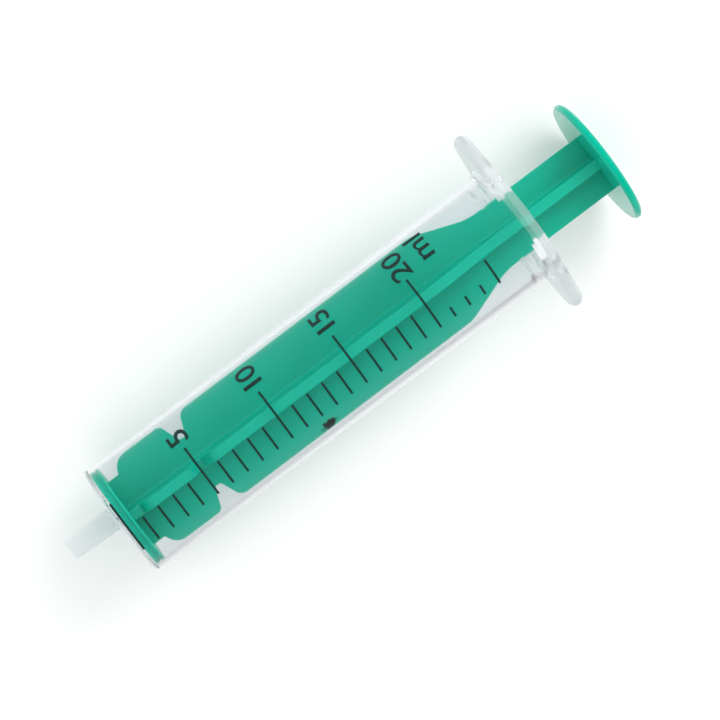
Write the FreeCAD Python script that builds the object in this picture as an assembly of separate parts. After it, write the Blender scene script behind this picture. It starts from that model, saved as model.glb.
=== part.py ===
import FreeCAD, Part
import math
import os
from FreeCAD import Vector

# A 20 ml two-piece disposable syringe, lying on its side with its scale uppermost.
# +X runs along the barrel towards the nozzle, +Y across the finger wings and +Z up.
# The origin lies under the middle of the syringe, on the plane that carries the flange.
# Lengths are in millimetres and angles in degrees.

# Barrel
BORE_RADIUS = 9.95
BORE_DEPTH = 88.35
BOTTOM_WALL = 1.0
MOUTH_WALL = 1.4
OUTER_DRAFT = 0.4
BOTTOM_ROUNDING = 0.8
MOUTH_CHAMFER = 0.5

# Ridge inside the mouth, which keeps the plunger from being pulled out
RIDGE_HEIGHT = 0.2
RIDGE_WIDTH = 0.6
RIDGE_SLOPE = 0.8
RIDGE_FROM_MOUTH = 4.6

# Finger flange
WING_REACH = 7.15
FLAT_REACH = 1.15
FLANGE_THICKNESS = 2.4
FLANGE_FLAT = 8.0
WING_END_RADIUS = 6.4
FLANGE_SHOULDER_RADIUS = 5.0
FLANGE_EDGE_CHAMFER = 0.7
FLANGE_ROOT_CHAMFER = 0.6

# Eccentric nozzle, a 6 % cone with the channel through it
NOZZLE_LENGTH = 10.0
NOZZLE_END_DIAMETER = 3.95
NOZZLE_TAPER = 0.06
NOZZLE_AXIS_TO_BORE_WALL = 4.3
NOZZLE_ROOT_CHAMFER = 0.35
NOZZLE_END_CHAMFER = 0.2
CHANNEL_RADIUS = 1.1

# Scale printed on the barrel
CUBIC_MM_IN_A_ML = 1000
MARK_WIDTH = 0.42
INK_THICKNESS = 0.05
SCALE_END_ML = 24
LAST_LONG_MARK_ML = 20
LONG_MARK_EVERY_ML = 5
SCALE_EDGE_ANGLE = 25.0
LONG_MARK_ARC = 55.0
PLAIN_MARK_ARC = 27.0
SHORT_MARK_ARC = 11.0

# Plunger
SEAL_CLEARANCE = 0.03
FRONT_CLEARANCE = 0.1
SEAL_THICKNESS = 1.6
SEAL_LIP_WIDTH = 0.5
SEAL_GROOVE_DEPTH = 0.25
SEAL_LIP_CHAMFER = 0.1
NECK_LENGTH = 2.3
NECK_HALF_WIDTH = 6.75
NECK_CORNER_RADIUS = 0.3
RIB_BORE_CLEARANCE = 0.7
GUIDE_LENGTH = 10.7
GUIDE_NOSE_LEAN = 1.0
GUIDE_NOSE_RADIUS = 3.0
GUIDE_HEEL_LEAN = 1.5
GUIDE_HEEL_RADIUS = 1.2
NOTCH_LENGTH = 4.4
NOTCH_HALF_WIDTH = 5.1
NOTCH_BOTTOM_RADIUS = 0.7
LONG_RIB_LENGTH = 50.9
LONG_RIB_NOSE_LEAN = 1.7
LONG_RIB_NOSE_RADIUS = 2.0
TAPER_LENGTH = 10.0
TAPER_SHOULDER_RADIUS = 6.0
TAPER_FOOT_RADIUS = 12.0
ROD_HALF_WIDTH = 5.65
ROD_SHOWING = 15.65
RIB_THICKNESS = 1.8
RIB_ROOT_RADIUS = 0.8
RIB_ROOT_LAND = 0.15
PLUNGER_TURN = 7.0

# Thumb disc, which stays just clear of the surface that the flange rests on
THUMB_DISC_LIFT = 0.2
THUMB_DISC_THICKNESS = 1.4
THUMB_DISC_CHAMFER = 0.4

# Places along the axis, and what else follows from the sizes above
barrel_length = BOTTOM_WALL + BORE_DEPTH
overall_length = NOZZLE_LENGTH + barrel_length + ROD_SHOWING + THUMB_DISC_THICKNESS
nozzle_end = overall_length / 2
bottom_face = nozzle_end - NOZZLE_LENGTH
bore_floor = bottom_face - BOTTOM_WALL
mouth_face = bottom_face - barrel_length
wing_face = mouth_face + FLANGE_THICKNESS
thumb_face = -nozzle_end
thumb_disc_front = thumb_face + THUMB_DISC_THICKNESS
seal_front = bore_floor - FRONT_CLEARANCE
seal_back = seal_front - SEAL_THICKNESS
guide_nose = seal_back - NECK_LENGTH
guide_heel = guide_nose - GUIDE_LENGTH
long_rib_nose = guide_heel - NOTCH_LENGTH
taper_shoulder = long_rib_nose - LONG_RIB_LENGTH
taper_foot = taper_shoulder - TAPER_LENGTH

mouth_outer_radius = BORE_RADIUS + MOUTH_WALL
wing_tip = mouth_outer_radius + WING_REACH
axis_height = mouth_outer_radius + FLAT_REACH
thumb_disc_radius = axis_height - THUMB_DISC_LIFT
nozzle_drop = BORE_RADIUS - NOZZLE_AXIS_TO_BORE_WALL
rib_half_width = BORE_RADIUS - RIB_BORE_CLEARANCE
seal_radius = BORE_RADIUS - SEAL_CLEARANCE
millilitre = CUBIC_MM_IN_A_ML / (math.pi * BORE_RADIUS**2)


def outer_radius(x):
    """The barrel's outer radius at x, which shrinks from the mouth by the draft."""
    return mouth_outer_radius - (x - mouth_face) * math.tan(math.radians(OUTER_DRAFT))


def rounded_face(corners, plane):
    """A face inside corners (a, b, rounding). plane turns a and b into a point in space."""
    edges = []
    last_end = None
    first_start = None
    for n, (a, b, rounding) in enumerate(corners):
        here = plane(a, b)
        back = (plane(*corners[n - 1][:2]) - here).normalize()
        ahead = (plane(*corners[(n + 1) % len(corners)][:2]) - here).normalize()
        start, end = here, here
        if rounding:
            half_angle = back.getAngle(ahead) / 2
            start = here + back * (rounding / math.tan(half_angle))
            end = here + ahead * (rounding / math.tan(half_angle))
            inwards = (back + ahead).normalize()
            middle = here + inwards * (rounding / math.sin(half_angle) - rounding)
        if last_end is None:
            first_start = start
        else:
            edges.append(Part.makeLine(last_end, start))
        if rounding:
            edges.append(Part.Arc(start, middle, end).toShape())
        last_end = end
    edges.append(Part.makeLine(last_end, first_start))
    return Part.Face(Part.Wire(edges))


def turned(corners, arc=360.0):
    """The solid that corners (x, radius, rounding) sweep about the X axis."""
    face = rounded_face(corners, lambda x, radius: Vector(x, 0, radius))
    return face.revolve(Vector(0, 0, 0), Vector(1, 0, 0), arc)


def upright_plate(corners, x, thickness):
    """A plate across the axis from x towards +X, with its outline in (y, z, rounding)."""
    face = rounded_face(corners, lambda y, z: Vector(x, y, z))
    return face.extrude(Vector(thickness, 0, 0))


def nozzle_radius(x):
    """The nozzle's radius at x, which shrinks towards its end by the cone's taper."""
    return NOZZLE_END_DIAMETER / 2 + (nozzle_end - x) * NOZZLE_TAPER / 2


def flange_plate():
    """The finger flange: two rounded wings, with a flat above and below that stop it rolling."""
    wing_centre = wing_tip - WING_END_RADIUS
    shoulder = FLANGE_FLAT / 2
    reach = math.hypot(wing_centre - shoulder, axis_height)
    side_angle = math.atan2(axis_height, wing_centre - shoulder) - math.asin(WING_END_RADIUS / reach)
    side_meeting = shoulder + axis_height / math.tan(side_angle)
    plate = upright_plate(
        [
            (-shoulder, axis_height, FLANGE_SHOULDER_RADIUS),
            (shoulder, axis_height, FLANGE_SHOULDER_RADIUS),
            (side_meeting, 0, WING_END_RADIUS),
            (shoulder, -axis_height, FLANGE_SHOULDER_RADIUS),
            (-shoulder, -axis_height, FLANGE_SHOULDER_RADIUS),
            (-side_meeting, 0, WING_END_RADIUS),
        ],
        mouth_face,
        FLANGE_THICKNESS,
    )
    rims = plate.Faces[0].Edges + plate.Faces[-1].Edges
    return plate.makeChamfer(FLANGE_EDGE_CHAMFER, rims)


def nozzle():
    """The cone that a needle hub is pushed onto, below the barrel's axis."""
    foot_radius = nozzle_radius(bottom_face) + NOZZLE_ROOT_CHAMFER
    # The foot starts inside the bottom wall, so that the two join without a seam.
    foot = bottom_face - BOTTOM_WALL / 2
    root = bottom_face + NOZZLE_ROOT_CHAMFER
    end = nozzle_end - NOZZLE_END_CHAMFER
    cone = turned(
        [
            (foot, 0, 0),
            (foot, foot_radius, 0),
            (bottom_face, foot_radius, 0),
            (root, nozzle_radius(root), 0),
            (end, nozzle_radius(end), 0),
            (nozzle_end, nozzle_radius(end) - NOZZLE_END_CHAMFER, 0),
            (nozzle_end, 0, 0),
        ]
    )
    cone.translate(Vector(0, 0, -nozzle_drop))
    return cone


def barrel_shell():
    """The tube with its bottom wall, its drafted outside and the low ridge inside its mouth."""
    ridge_back = mouth_face + RIDGE_FROM_MOUTH
    ridge_front = ridge_back + RIDGE_WIDTH
    ridge_radius = BORE_RADIUS - RIDGE_HEIGHT
    root = wing_face + FLANGE_ROOT_CHAMFER
    collar_radius = outer_radius(wing_face) + FLANGE_ROOT_CHAMFER
    return turned(
        [
            (bottom_face, 0, 0),
            (bottom_face, outer_radius(bottom_face), BOTTOM_ROUNDING),
            (root, outer_radius(root), 0),
            (wing_face, collar_radius, 0),
            (mouth_face, collar_radius, 0),
            (mouth_face, BORE_RADIUS + MOUTH_CHAMFER, 0),
            (mouth_face + MOUTH_CHAMFER, BORE_RADIUS, 0),
            (ridge_back - RIDGE_SLOPE, BORE_RADIUS, 0),
            (ridge_back, ridge_radius, 0),
            (ridge_front, ridge_radius, 0),
            (ridge_front + RIDGE_SLOPE, BORE_RADIUS, 0),
            (bore_floor, BORE_RADIUS, 0),
            (bore_floor, 0, 0),
        ]
    )


def barrel():
    """The clear barrel, one moulding: tube, bottom, nozzle with its channel, and finger flange."""
    bore_through_flange = Part.makeCylinder(
        BORE_RADIUS + MOUTH_CHAMFER, FLANGE_THICKNESS, Vector(mouth_face, 0, 0), Vector(1, 0, 0)
    )
    flange = flange_plate().cut(bore_through_flange)
    body = barrel_shell().fuse([flange, nozzle()]).removeSplitter()
    channel = Part.makeCylinder(
        CHANNEL_RADIUS,
        NOZZLE_LENGTH + BOTTOM_WALL,
        Vector(bore_floor, 0, -nozzle_drop),
        Vector(1, 0, 0),
    )
    return body.cut(channel)


def seal_lip(front):
    """The outline of one lip, from its front to its back, with a fine chamfer on both edges."""
    back = front - SEAL_LIP_WIDTH
    edge_radius = seal_radius - SEAL_LIP_CHAMFER
    return [
        (front, edge_radius, 0),
        (front - SEAL_LIP_CHAMFER, seal_radius, 0),
        (back + SEAL_LIP_CHAMFER, seal_radius, 0),
        (back, edge_radius, 0),
    ]


def seal_disc():
    """The plunger's thin front disc, whose two lips wipe the bore."""
    groove_radius = seal_radius - SEAL_GROOVE_DEPTH
    back_lip = seal_back + SEAL_LIP_WIDTH
    return turned(
        [
            (seal_front, 0, 0),
            *seal_lip(seal_front),
            (seal_front - SEAL_LIP_WIDTH, groove_radius, 0),
            (back_lip, groove_radius, 0),
            *seal_lip(back_lip),
            (seal_back, 0, 0),
        ]
    )


def rib_plate():
    """Two opposite ribs, from above: neck, guide, notch, long ribs, taper and rod."""
    seal_middle = (seal_front + seal_back) / 2
    thumb_disc_middle = (thumb_face + thumb_disc_front) / 2
    side = [
        (seal_middle, NECK_HALF_WIDTH, 0),
        (guide_nose, NECK_HALF_WIDTH, NECK_CORNER_RADIUS),
        (guide_nose - GUIDE_NOSE_LEAN, rib_half_width, GUIDE_NOSE_RADIUS),
        (guide_heel, rib_half_width, GUIDE_HEEL_RADIUS),
        (guide_heel - GUIDE_HEEL_LEAN, NOTCH_HALF_WIDTH, NOTCH_BOTTOM_RADIUS),
        (long_rib_nose + LONG_RIB_NOSE_LEAN, NOTCH_HALF_WIDTH, NOTCH_BOTTOM_RADIUS),
        (long_rib_nose, rib_half_width, LONG_RIB_NOSE_RADIUS),
        (taper_shoulder, rib_half_width, TAPER_SHOULDER_RADIUS),
        (taper_foot, ROD_HALF_WIDTH, TAPER_FOOT_RADIUS),
        (thumb_disc_middle, ROD_HALF_WIDTH, 0),
    ]
    other_side = [(x, -across, rounding) for x, across, rounding in reversed(side)]
    face = rounded_face(side + other_side, lambda x, across: Vector(x, across, -RIB_THICKNESS / 2))
    return face.extrude(Vector(0, 0, RIB_THICKNESS))


def rib_core():
    """The cross-shaped bar inside the ribs, whose hollow corners round the angles between them."""
    near = RIB_THICKNESS / 2
    far = near + RIB_ROOT_RADIUS + RIB_ROOT_LAND
    quarter = [(far, near, 0), (near, near, RIB_ROOT_RADIUS), (near, far, 0)]
    corners = []
    for _ in range(4):
        corners += quarter
        quarter = [(-z, y, rounding) for y, z, rounding in quarter]
    return upright_plate(corners, thumb_disc_front, seal_back - thumb_disc_front)


def thumb_disc():
    """The round disc that the thumb presses."""
    return turned(
        [
            (thumb_disc_front, 0, 0),
            (thumb_disc_front, thumb_disc_radius - THUMB_DISC_CHAMFER, 0),
            (thumb_disc_front - THUMB_DISC_CHAMFER, thumb_disc_radius, 0),
            (thumb_face + THUMB_DISC_CHAMFER, thumb_disc_radius, 0),
            (thumb_face, thumb_disc_radius - THUMB_DISC_CHAMFER, 0),
            (thumb_face, 0, 0),
        ]
    )


def plunger():
    """The green plunger, one moulding, pushed fully in."""
    level_ribs = rib_plate()
    upright_ribs = rib_plate()
    upright_ribs.rotate(Vector(0, 0, 0), Vector(1, 0, 0), 90)
    body = seal_disc().fuse([level_ribs, upright_ribs, rib_core(), thumb_disc()]).removeSplitter()
    body.rotate(Vector(0, 0, 0), Vector(1, 0, 0), PLUNGER_TURN)
    return body


def mark(millilitres, arc):
    """One line of the scale, across the barrel, ending at the scale's shared edge."""
    middle = bore_floor - millilitres * millilitre
    front = middle + MARK_WIDTH / 2
    back = middle - MARK_WIDTH / 2
    ink = turned(
        [
            (front, outer_radius(front), 0),
            (front, outer_radius(front) + INK_THICKNESS, 0),
            (back, outer_radius(back) + INK_THICKNESS, 0),
            (back, outer_radius(back), 0),
        ],
        arc,
    )
    ink.rotate(Vector(0, 0, 0), Vector(1, 0, 0), -SCALE_EDGE_ANGLE)
    return ink


def scale_print():
    """The lines of the scale, one for each millilitre, with a long one every 5 ml."""
    marks = []
    for millilitres in range(SCALE_END_ML + 1):
        if millilitres <= LAST_LONG_MARK_ML and millilitres % LONG_MARK_EVERY_ML == 0:
            arc = LONG_MARK_ARC
        elif LAST_LONG_MARK_ML < millilitres < SCALE_END_ML:
            arc = SHORT_MARK_ARC
        else:
            arc = PLAIN_MARK_ARC
        marks.append(mark(millilitres, arc))
    return Part.makeCompound(marks)


os.makedirs("parts", exist_ok=True)
for name, shape in {
    "barrel": barrel(),
    "plunger": plunger(),
    "scale_print": scale_print(),
}.items():
    shape.translate(Vector(0, 0, axis_height))
    print(name, len(shape.Solids), shape.isValid(), round(shape.Volume, 1), shape.BoundBox)
    shape.exportStep(f"parts/{name}.step")
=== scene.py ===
import math

import bpy
from mathutils import Matrix, Vector


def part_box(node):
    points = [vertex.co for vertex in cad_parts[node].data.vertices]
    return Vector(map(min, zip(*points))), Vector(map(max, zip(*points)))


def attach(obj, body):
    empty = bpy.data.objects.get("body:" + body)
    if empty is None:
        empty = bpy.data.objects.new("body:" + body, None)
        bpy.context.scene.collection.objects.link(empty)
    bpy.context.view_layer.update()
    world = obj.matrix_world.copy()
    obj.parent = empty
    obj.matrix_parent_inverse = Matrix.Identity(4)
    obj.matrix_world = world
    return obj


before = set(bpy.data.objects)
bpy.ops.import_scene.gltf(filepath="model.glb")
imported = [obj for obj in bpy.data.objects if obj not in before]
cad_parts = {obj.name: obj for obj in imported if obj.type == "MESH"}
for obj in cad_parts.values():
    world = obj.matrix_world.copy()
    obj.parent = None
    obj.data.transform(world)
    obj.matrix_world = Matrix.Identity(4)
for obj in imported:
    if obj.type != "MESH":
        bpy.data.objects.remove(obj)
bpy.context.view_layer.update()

# A 20 ml two-piece disposable syringe, seen from above with its nozzle at the lower left.
# Lengths are in metres and angles in degrees. Noise scales are in waves a metre.
MILLIMETRE = 0.001

# Camera, which leans a little to the side of the numbers and to the nozzle's end
CAMERA_DISTANCE = 600 * MILLIMETRE
CAMERA_AIM = (-2.8 * MILLIMETRE, 2.8 * MILLIMETRE, 12.5 * MILLIMETRE)
CAMERA_LEAN_TO_NUMBERS = 11.63
CAMERA_LEAN_TO_NOZZLE = 2.63
CAMERA_ROLL = 143.5
CAMERA_LENS_MM = 170

# White paper, an even sky and a softbox
FLOOR_SIZE = 6.0
FLOOR_BELOW_PART = 0.02 * MILLIMETRE
FLOOR_GREY = 0.88
FLOOR_LIFT = 0.14
SKY_FILL = 0.94
SOFTBOX_SIZE = 0.4
SOFTBOX_PLACE = (-0.50, -0.25, 0.50)
SOFTBOX_POWER = 1.7

# What a gloss mirrors: the paper, painted dark in reflections away from the part, and a dim sky, darkest
# overhead
FLOOR_IN_GLOSS = 0.25
WHITE_PAPER_TO = 22 * MILLIMETRE
GLOSS_DARKENED_FROM = 42 * MILLIMETRE
PAPER_LENGTH_SHARE = 0.35
SKY_IN_GLOSS = 0.35
SKY_OVERHEAD = 0.04
OVERHEAD_FROM = 0.1
OVERHEAD_FULL = 0.5
FACES_OF_A_WALL = 2

# Places along the part, from its boxes and the sizes of its flange, nozzle and thumb disc
FLANGE_THICKNESS = 2.4 * MILLIMETRE
NOZZLE_LENGTH = 10 * MILLIMETRE
THUMB_DISC_THICKNESS = 1.4 * MILLIMETRE
barrel_low, barrel_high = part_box("barrel")
plunger_low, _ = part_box("plunger")
mouth_face = barrel_low.x
wing_face = mouth_face + FLANGE_THICKNESS
bottom_face = barrel_high.x - NOZZLE_LENGTH
thumb_disc_front = plunger_low.x + THUMB_DISC_THICKNESS
axis_height = (barrel_low.z + barrel_high.z) / 2

# Clear plastic
CLEAR_TINTS = (0.915, 0.925, 0.945), (0.945, 0.952, 0.97)
CLEAR_IOR = 1.49
CLEAR_SPECULAR = (0.1, 0.1, 0.1)
STRAIGHT_TINT = (0.97, 0.98, 0.985)
WALL_BOUNCES = 3
FLOW_DEPTH = 0.0015 * MILLIMETRE

# Where the clear plastic turns milky, along the barrel and across the wings
HAZE_BLEND = 1.0 * MILLIMETRE
WING_HAZE = 0.4
WING_HAZE_FROM = 6.5 * MILLIMETRE
WING_HAZE_FULL = 11 * MILLIMETRE
RIM_HAZE = 0.12
RIM_WIDTH = 1.4 * MILLIMETRE
NOZZLE_HAZE = 0.5

# The clear plastic's gloss, which is duller where it is milky and near the mouth
CLEAR_ROUGHNESS = 0.06
MILKY_ROUGHNESS = 0.6
FROSTING = 0.04
FROSTED_LENGTH = 7.15 * MILLIMETRE
FROST_BLEND = 2.0 * MILLIMETRE

# Green plastic, which is polished on the thumb disc
GREENS = (0.0, 0.46, 0.315), (0.001, 0.52, 0.355)
GREEN_IOR = 1.5
WAXY_ROUGHNESS = 0.28, 0.4
POLISHED_SHARE = 0.3
POLISH_BLEND = 0.1 * MILLIMETRE
GRAIN_DEPTH = 0.004 * MILLIMETRE
LIGHT_INSIDE = 0.25
LIGHT_REACH = (0.3, 1.0, 0.8)
LIGHT_REACH_SCALE = 1.5 * MILLIMETRE

# A dark speck on a rib, longer along it than across
SPECK_PLACE = (8.2 * MILLIMETRE, 8.35 * MILLIMETRE, 14.4 * MILLIMETRE)
SPECK_HALF_WIDTH = 0.95 * MILLIMETRE
SPECK_STRETCH = 1.7
SPECK_RAGGEDNESS = 0.3
SPECK_CORE_SHARE = 0.7
SPECK_COLOUR = (0.003, 0.012, 0.004)

# Printed numbers of the scale
INKS = (0.004, 0.022, 0.02), (0.01, 0.06, 0.05)
INK_ROUGHNESS = 0.4, 0.6
NUMBER_STARTS = {5: 35, 10: 37.5, 15: 38, 20: 31}
LAST_MARK_ML = 24
MARK_WIDTH = 0.42 * MILLIMETRE
INK_THICKNESS = 0.05 * MILLIMETRE
NUMBER_SIZE = 5.3 * MILLIMETRE
NUMBER_WIDENING = 1.25
NUMBER_STROKE_GAIN = 0.05 * MILLIMETRE
FIRST_DIGIT_TIGHTER = -6.5
UNIT_START = 34
UNIT_AFTER_ML = 21.6
CUT_EVERY = 0.3 * MILLIMETRE

# The part of a noise pattern's range that most of it fills
NOISE_LOW = 0.3
NOISE_HIGH = 0.7


def new_material(name):
    """A material with its nodes, its links and its shader."""
    material = bpy.data.materials.new(name)
    material.use_nodes = True
    nodes = material.node_tree.nodes
    return material, nodes, material.node_tree.links, nodes["Principled BSDF"]


def noise(nodes, links, scale, detail, stretch=(1, 1, 1)):
    """A noise pattern fixed to the piece."""
    place = nodes.new("ShaderNodeTexCoord")
    mapping = nodes.new("ShaderNodeMapping")
    mapping.inputs["Scale"].default_value = stretch
    pattern = nodes.new("ShaderNodeTexNoise")
    pattern.inputs["Scale"].default_value = scale
    pattern.inputs["Detail"].default_value = detail
    links.new(place.outputs["Object"], mapping.inputs["Vector"])
    links.new(mapping.outputs["Vector"], pattern.inputs["Vector"])
    return pattern.outputs["Fac"]


def between(nodes, links, value, low, high, start=NOISE_LOW, end=NOISE_HIGH):
    """value spread from start..end to low..high."""
    spread = nodes.new("ShaderNodeMapRange")
    spread.inputs["From Min"].default_value = start
    spread.inputs["From Max"].default_value = end
    spread.inputs["To Min"].default_value = low
    spread.inputs["To Max"].default_value = high
    links.new(value, spread.inputs["Value"])
    return spread.outputs["Result"]


def joined(nodes, links, operation, first, second):
    """Two values, or a value and a plain number, joined by a sum, a product or a limit."""
    join = nodes.new("ShaderNodeMath")
    join.operation = operation
    links.new(first, join.inputs[0])
    if isinstance(second, (int, float)):
        join.inputs[1].default_value = second
    else:
        links.new(second, join.inputs[1])
    return join.outputs["Value"]


def blend_colours(nodes, links, value, first, second):
    """The colour first where value is 0 and second where it is 1. first may be another pattern."""
    mix = nodes.new("ShaderNodeMix")
    mix.data_type = "RGBA"
    # The node's numbers, vectors and colours share their socket names, so places are used.
    factor, first_colour, second_colour, result = 0, 6, 7, 2
    if isinstance(first, tuple):
        mix.inputs[first_colour].default_value = (*first, 1)
    else:
        links.new(first, mix.inputs[first_colour])
    mix.inputs[second_colour].default_value = (*second, 1)
    links.new(value, mix.inputs[factor])
    return mix.outputs[result]


def bump(nodes, links, height, depth, shader):
    """Fine relief of the given depth on the shader."""
    relief = nodes.new("ShaderNodeBump")
    relief.inputs["Distance"].default_value = depth
    links.new(height, relief.inputs["Height"])
    links.new(relief.outputs["Normal"], shader.inputs["Normal"])


def place_on_part(nodes, links):
    """The place along the barrel and the distance across it from the middle."""
    place = nodes.new("ShaderNodeTexCoord")
    split = nodes.new("ShaderNodeSeparateXYZ")
    links.new(place.outputs["Object"], split.inputs["Vector"])
    return split.outputs["X"], joined(nodes, links, "ABSOLUTE", split.outputs["Y"], 0)


def milkiness(nodes, links, x, across):
    """How milky the clear plastic is: 0 in the tube, and more in the wings, the rim and the nozzle."""
    on_flange = between(nodes, links, x, 1, 0, wing_face, wing_face + HAZE_BLEND)
    wings = between(nodes, links, across, 0, WING_HAZE, WING_HAZE_FROM, WING_HAZE_FULL)
    wings = joined(nodes, links, "MULTIPLY", wings, on_flange)
    rim_end = mouth_face + RIM_WIDTH
    rim = between(nodes, links, x, RIM_HAZE, 0, rim_end, rim_end + HAZE_BLEND / 4)
    # The haze starts just past the bottom face, which stays clear.
    nozzle_start = bottom_face + HAZE_BLEND / 10
    nozzle = between(nodes, links, x, 0, NOZZLE_HAZE, nozzle_start, nozzle_start + HAZE_BLEND)
    return joined(nodes, links, "MAXIMUM", joined(nodes, links, "MAXIMUM", wings, rim), nozzle)


def clear_polypropylene():
    """Clear glossy plastic, milky in places, with the faint streaks that its flow left."""
    material, nodes, links, shader = new_material("clear_polypropylene")
    x, across = place_on_part(nodes, links)
    milk = milkiness(nodes, links, x, across)
    links.new(between(nodes, links, milk, 1, 0, 0, 1), shader.inputs["Transmission Weight"])

    cloud = noise(nodes, links, scale=160, detail=3, stretch=(0.35, 1, 1))
    links.new(blend_colours(nodes, links, cloud, *CLEAR_TINTS), shader.inputs["Base Color"])
    gloss = between(nodes, links, milk, CLEAR_ROUGHNESS, MILKY_ROUGHNESS, 0, 1)
    frost_end = mouth_face + FROSTED_LENGTH
    frost = between(nodes, links, x, FROSTING, 0, frost_end - FROST_BLEND, frost_end)
    links.new(joined(nodes, links, "ADD", gloss, frost), shader.inputs["Roughness"])
    shader.inputs["IOR"].default_value = CLEAR_IOR
    shader.inputs["Specular Tint"].default_value = (*CLEAR_SPECULAR, 1)
    flow = noise(nodes, links, scale=420, detail=2, stretch=(0.12, 1, 1))
    bump(nodes, links, flow, FLOW_DEPTH, shader)

    # Lamps and bounced light pass straight through, so that what is inside is lit evenly,
    # and so does light that the wall would lead round and round.
    path = nodes.new("ShaderNodeLightPath")
    through = joined(nodes, links, "MAXIMUM", path.outputs["Is Shadow Ray"], path.outputs["Is Diffuse Ray"])
    trapped = joined(nodes, links, "GREATER_THAN", path.outputs["Ray Depth"], WALL_BOUNCES)
    through = joined(nodes, links, "MAXIMUM", through, trapped)
    straight = nodes.new("ShaderNodeBsdfTransparent")
    straight.inputs["Color"].default_value = (*STRAIGHT_TINT, 1)
    mix = nodes.new("ShaderNodeMixShader")
    links.new(through, mix.inputs["Fac"])
    links.new(shader.outputs["BSDF"], mix.inputs[1])
    links.new(straight.outputs["BSDF"], mix.inputs[2])
    links.new(mix.outputs["Shader"], nodes["Material Output"].inputs["Surface"])
    return material


def speck(nodes, links):
    """1 inside a small ragged spot, and 0 outside it."""
    place = nodes.new("ShaderNodeTexCoord")
    centred = nodes.new("ShaderNodeMapping")
    centred.vector_type = "TEXTURE"
    centred.inputs["Location"].default_value = SPECK_PLACE
    centred.inputs["Scale"].default_value = (SPECK_STRETCH, 1, 1)
    away = nodes.new("ShaderNodeVectorMath")
    away.operation = "LENGTH"
    links.new(place.outputs["Object"], centred.inputs["Vector"])
    links.new(centred.outputs["Vector"], away.inputs[0])
    pattern = noise(nodes, links, scale=1200, detail=2)
    in_and_out = SPECK_RAGGEDNESS * SPECK_HALF_WIDTH
    ragged = between(nodes, links, pattern, -in_and_out, in_and_out)
    edge = joined(nodes, links, "ADD", away.outputs["Value"], ragged)
    return between(nodes, links, edge, 1, 0, SPECK_CORE_SHARE * SPECK_HALF_WIDTH, SPECK_HALF_WIDTH)


def green_polyethylene():
    """Waxy green plastic with the fine grain of its mould, polished on the thumb disc."""
    material, nodes, links, shader = new_material("green_polyethylene")
    cloud = noise(nodes, links, scale=90, detail=4, stretch=(0.4, 1, 1))
    colour = blend_colours(nodes, links, cloud, *GREENS)
    colour = blend_colours(nodes, links, speck(nodes, links), colour, SPECK_COLOUR)
    links.new(colour, shader.inputs["Base Color"])
    grain = noise(nodes, links, scale=2600, detail=2)
    x, _ = place_on_part(nodes, links)
    polish_end = thumb_disc_front + POLISH_BLEND
    polish = between(nodes, links, x, POLISHED_SHARE, 1, thumb_disc_front, polish_end)
    waxy = between(nodes, links, grain, *WAXY_ROUGHNESS)
    links.new(joined(nodes, links, "MULTIPLY", waxy, polish), shader.inputs["Roughness"])
    shader.inputs["IOR"].default_value = GREEN_IOR
    shader.inputs["Subsurface Weight"].default_value = LIGHT_INSIDE
    shader.inputs["Subsurface Radius"].default_value = LIGHT_REACH
    shader.inputs["Subsurface Scale"].default_value = LIGHT_REACH_SCALE
    bump(nodes, links, grain, GRAIN_DEPTH, shader)
    return material


def scale_ink():
    """Dark printing ink, a little uneven in its density."""
    material, nodes, links, shader = new_material("scale_ink")
    density = noise(nodes, links, scale=3000, detail=3)
    links.new(blend_colours(nodes, links, density, *INKS), shader.inputs["Base Color"])
    links.new(between(nodes, links, density, *INK_ROUGHNESS), shader.inputs["Roughness"])
    return material


def dress(piece, material):
    """Gives the piece this material alone."""
    piece.data.materials.clear()
    piece.data.materials.append(material)


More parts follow.
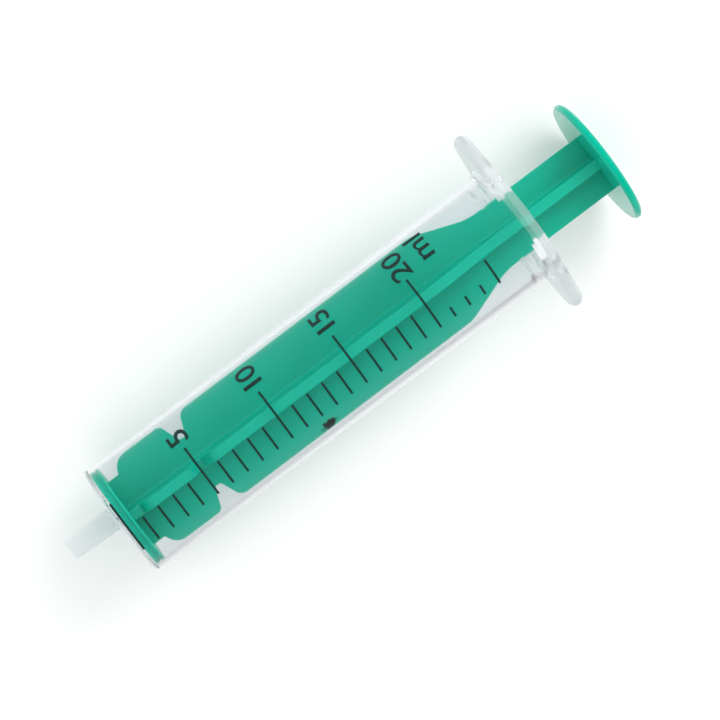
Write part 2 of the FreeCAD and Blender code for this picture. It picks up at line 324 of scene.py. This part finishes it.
def printed_text(text, name, x, start, radius):
    """Ink text wrapped round the barrel, read across it with the tops towards the nozzle."""
    bpy.ops.object.select_all(action="DESELECT")
    bpy.ops.object.text_add()
    print_piece = bpy.context.object
    print_piece.name = name
    print_piece.data.body = text
    print_piece.data.size = NUMBER_SIZE
    print_piece.data.offset = NUMBER_STROKE_GAIN
    if text[0] == "1":
        print_piece.data.body_format[0].kerning = FIRST_DIGIT_TIGHTER
    bpy.ops.object.convert(target="MESH")

    # The text lies flat here, so its outline is cut across where it has to bend.
    corners = [vertex.co for vertex in print_piece.data.vertices]
    left = min(corner.x for corner in corners)
    width = max(corner.x for corner in corners) - left
    middle = (min(corner.y for corner in corners) + max(corner.y for corner in corners)) / 2
    bpy.ops.object.mode_set(mode="EDIT")
    for cut in range(1, math.ceil(width / CUT_EVERY)):
        bpy.ops.mesh.select_all(action="SELECT")
        bpy.ops.mesh.bisect(plane_co=(left + cut * CUT_EVERY, 0, 0), plane_no=(1, 0, 0))
    bpy.ops.mesh.select_all(action="SELECT")
    bpy.ops.transform.translate(value=(-left, -middle, 0))
    bpy.ops.object.mode_set(mode="OBJECT")

    # It stands up, is bent to the barrel's radius, and gets the thickness of the ink.
    widened = Matrix.Diagonal((NUMBER_WIDENING, 1, 1, 1))
    print_piece.data.transform(Matrix.Rotation(math.radians(90), 4, "X") @ widened)
    corners = [vertex.co.x for vertex in print_piece.data.vertices]
    bend = print_piece.modifiers.new("wrap", "SIMPLE_DEFORM")
    bend.deform_method = "BEND"
    bend.deform_axis = "Z"
    bend.angle = (max(corners) - min(corners)) / radius
    bpy.ops.object.modifier_apply(modifier=bend.name)
    film = print_piece.modifiers.new("film", "SOLIDIFY")
    film.thickness = INK_THICKNESS
    film.offset = 1
    bpy.ops.object.modifier_apply(modifier=film.name)

    # Its reading direction goes across the barrel, and its start to the end of the marks.
    across = Matrix(((0, 0, 1, 0), (-1, 0, 0, 0), (0, -1, 0, radius), (0, 0, 0, 1)))
    round_axis = Matrix.Rotation(math.radians(start), 4, "X")
    print_piece.data.transform(Matrix.Translation((x, 0, axis_height)) @ round_axis @ across)
    return print_piece


def barrel_radius(x, marks):
    """The barrel's outer radius at x, from the corners of the mark that lies nearest."""
    near = min(marks, key=lambda corner: abs(corner.x - x))
    beside = [corner for corner in marks if abs(corner.x - near.x) < MARK_WIDTH]
    reach = max(math.hypot(corner.y, corner.z - axis_height) for corner in beside)
    return reach - INK_THICKNESS


def scale_numbers(ink):
    """The numbers beside the long marks, and the unit after the last of them."""
    low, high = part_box("scale_print")
    first_mark = high.x - MARK_WIDTH / 2
    millilitre = (first_mark - low.x - MARK_WIDTH / 2) / LAST_MARK_ML
    marks = [vertex.co.copy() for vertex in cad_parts["scale_print"].data.vertices]

    words = [
        (str(millilitres), f"scale_number_{millilitres}", millilitres, start)
        for millilitres, start in NUMBER_STARTS.items()
    ]
    words.append(("ml", "scale_unit", UNIT_AFTER_ML, UNIT_START))
    for text, name, millilitres, start in words:
        x = first_mark - millilitres * millilitre
        piece = printed_text(text, name, x, start, barrel_radius(x, marks))
        dress(piece, ink)
        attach(piece, "barrel")


def seen_directly(nodes, links):
    """1 for rays from the camera, off a gloss or through clear plastic, and 0 for light."""
    path = nodes.new("ShaderNodeLightPath")
    mirrored = joined(nodes, links, "MAXIMUM", path.outputs["Is Camera Ray"], path.outputs["Is Glossy Ray"])
    return joined(nodes, links, "MAXIMUM", mirrored, path.outputs["Is Transmission Ray"])


def far_reflection(nodes, links):
    """1 for rays that came off a gloss and meet the paper away from the part, and 0 for others."""
    path = nodes.new("ShaderNodeLightPath")
    place = nodes.new("ShaderNodeTexCoord")
    around = nodes.new("ShaderNodeMapping")
    around.inputs["Scale"].default_value = (PAPER_LENGTH_SHARE, 1, 1)
    away = nodes.new("ShaderNodeVectorMath")
    away.operation = "LENGTH"
    links.new(place.outputs["Object"], around.inputs["Vector"])
    links.new(around.outputs["Vector"], away.inputs[0])
    reflections = joined(nodes, links, "MINIMUM", path.outputs["Glossy Depth"], 1)
    far = between(nodes, links, away.outputs["Value"], 0, 1, WHITE_PAPER_TO, GLOSS_DARKENED_FROM)
    return joined(nodes, links, "MULTIPLY", reflections, far)


def reflected_sky(nodes, links):
    """1 for rays that reached the sky off a gloss, also one inside the barrel, and 0 for others."""
    path = nodes.new("ShaderNodeLightPath")
    straight_off = between(nodes, links, path.outputs["Is Transmission Ray"], 1, 0, 0, 1)
    straight_off = joined(nodes, links, "MULTIPLY", straight_off, path.outputs["Is Glossy Ray"])
    reflections = joined(nodes, links, "MINIMUM", path.outputs["Glossy Depth"], 1)
    faces = path.outputs["Transmission Depth"]
    through_wall = between(nodes, links, faces, 0, 1, FACES_OF_A_WALL, FACES_OF_A_WALL + 1)
    from_inside = joined(nodes, links, "MULTIPLY", reflections, through_wall)
    return joined(nodes, links, "MAXIMUM", straight_off, from_inside)


def studio_floor():
    """White paper under the syringe, which keeps the shadow."""
    bpy.ops.object.select_all(action="DESELECT")
    bpy.ops.mesh.primitive_plane_add(size=FLOOR_SIZE, location=(0, 0, -FLOOR_BELOW_PART))
    floor = bpy.context.object
    floor.name = "floor"
    material, nodes, links, shader = new_material("white_paper")
    # Painted reflection: where a gloss mirrors the paper away from the part, its colour is painted dark;
    # seen directly it stays white.
    grey = between(nodes, links, far_reflection(nodes, links), FLOOR_GREY, FLOOR_IN_GLOSS, 0, 1)
    links.new(grey, shader.inputs["Base Color"])
    shader.inputs["Roughness"].default_value = 1.0
    shader.inputs["Specular IOR Level"].default_value = 0.0
    shader.inputs["Emission Color"].default_value = (1, 1, 1, 1)
    lift = joined(nodes, links, "MULTIPLY", seen_directly(nodes, links), FLOOR_LIFT)
    links.new(lift, shader.inputs["Emission Strength"])
    dress(floor, material)


def studio_sky():
    """A soft even white sky, which a gloss shows dim, and dark overhead."""
    world = bpy.data.worlds.new("studio")
    bpy.context.scene.world = world
    world.use_nodes = True
    nodes = world.node_tree.nodes
    links = world.node_tree.links
    sky = nodes["Background"]
    sky.inputs["Color"].default_value = (1, 1, 1, 1)
    direction = nodes.new("ShaderNodeTexCoord")
    split = nodes.new("ShaderNodeSeparateXYZ")
    links.new(direction.outputs["Generated"], split.inputs["Vector"])
    overhead = between(nodes, links, split.outputs["Z"], 0, 1 - SKY_OVERHEAD, OVERHEAD_FROM, OVERHEAD_FULL)
    reflected = reflected_sky(nodes, links)
    dark = joined(nodes, links, "MULTIPLY", reflected, overhead)
    seen = between(nodes, links, dark, 1, 0, 0, 1)
    dimmed = between(nodes, links, reflected, 1, SKY_IN_GLOSS, 0, 1)
    seen = joined(nodes, links, "MULTIPLY", seen, dimmed)
    strength = nodes.new("ShaderNodeMix")
    strength.inputs["A"].default_value = SKY_FILL
    links.new(seen_directly(nodes, links), strength.inputs["Factor"])
    links.new(seen, strength.inputs["B"])
    links.new(strength.outputs["Result"], sky.inputs["Strength"])


def studio_softbox():
    """One large lamp, which isn't mirrored in the plastic."""
    softbox = bpy.data.lights.new("softbox", "AREA")
    softbox.size = SOFTBOX_SIZE
    softbox.energy = SOFTBOX_POWER
    lamp = bpy.data.objects.new("softbox", softbox)
    lamp.location = SOFTBOX_PLACE
    lamp.visible_glossy = False
    lamp.visible_transmission = False
    lamp.rotation_euler = Vector(SOFTBOX_PLACE).to_track_quat("Z", "Y").to_euler()
    bpy.context.scene.collection.objects.link(lamp)


def photo_camera():
    """The camera at the photograph's angle."""
    lean = math.radians(CAMERA_LEAN_TO_NUMBERS)
    turn = math.radians(CAMERA_LEAN_TO_NOZZLE)
    roll = math.radians(CAMERA_ROLL)
    away = Vector((math.sin(turn), -math.sin(lean) * math.cos(turn), math.cos(lean) * math.cos(turn)))
    level = Vector((0, 1, 0)).cross(away).normalized()
    upright = away.cross(level)
    right = level * math.cos(roll) + upright * math.sin(roll)
    up = away.cross(right)
    data = bpy.data.cameras.new("photo_camera")
    data.lens = CAMERA_LENS_MM
    camera = bpy.data.objects.new("photo_camera", data)
    turned = Matrix((right, up, away)).transposed().to_4x4()
    camera.matrix_world = Matrix.Translation(Vector(CAMERA_AIM) + away * CAMERA_DISTANCE) @ turned
    bpy.context.scene.collection.objects.link(camera)
    bpy.context.scene.camera = camera


photo_camera()
ink = scale_ink()
dress(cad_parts["barrel"], clear_polypropylene())
dress(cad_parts["plunger"], green_polyethylene())
dress(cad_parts["scale_print"], ink)
scale_numbers(ink)
studio_floor()
studio_sky()
studio_softbox()
bpy.context.scene.view_settings.view_transform = "Standard"
